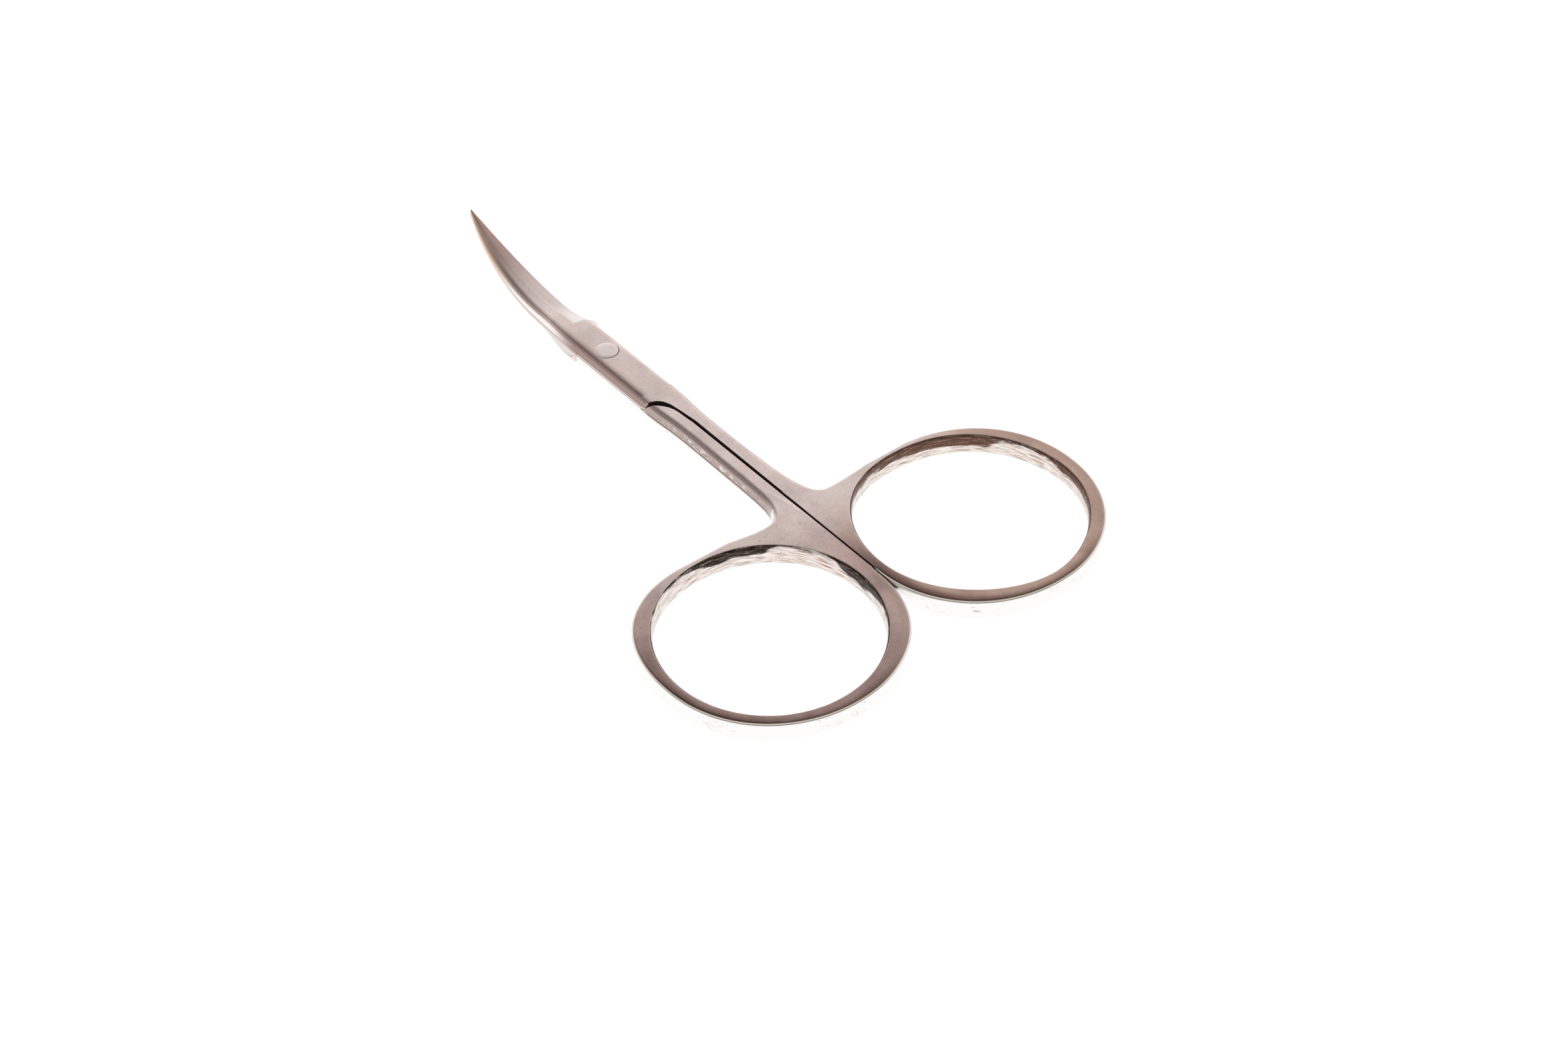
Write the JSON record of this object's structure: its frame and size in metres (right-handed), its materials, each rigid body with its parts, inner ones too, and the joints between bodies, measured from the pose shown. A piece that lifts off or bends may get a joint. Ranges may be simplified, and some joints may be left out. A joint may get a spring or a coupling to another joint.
{
  "type": "cuticle scissors",
  "caption": "Slim steel manicure scissors with upward-curved tapering blades, oval finger rings and a flush rivet pivot.",
  "frame": {"origin": "on the pivot axis, in the plane of the flat underside", "axes": "+X from the pivot towards the tips, +Y towards the lower half's finger ring, +Z along the pivot axis, the way the blades curve"},
  "size_m": [0.0907, 0.0586, 0.0079],
  "materials": {
    "brushed_steel": "satin",
    "rivet_steel": "satin"
  },
  "bodies": {
    "lower": {"lower_half": "brushed_steel", "pivot_rivet": "rivet_steel"},
    "upper": {"upper_half": "brushed_steel"}
  },
  "joints": [
    {"name": "blade_pivot", "type": "hinge", "parent": "lower", "child": "upper", "pos_m": [0, 0, 0], "axis": [0, 0, 1], "range_deg": [0, 150]}
  ]
}
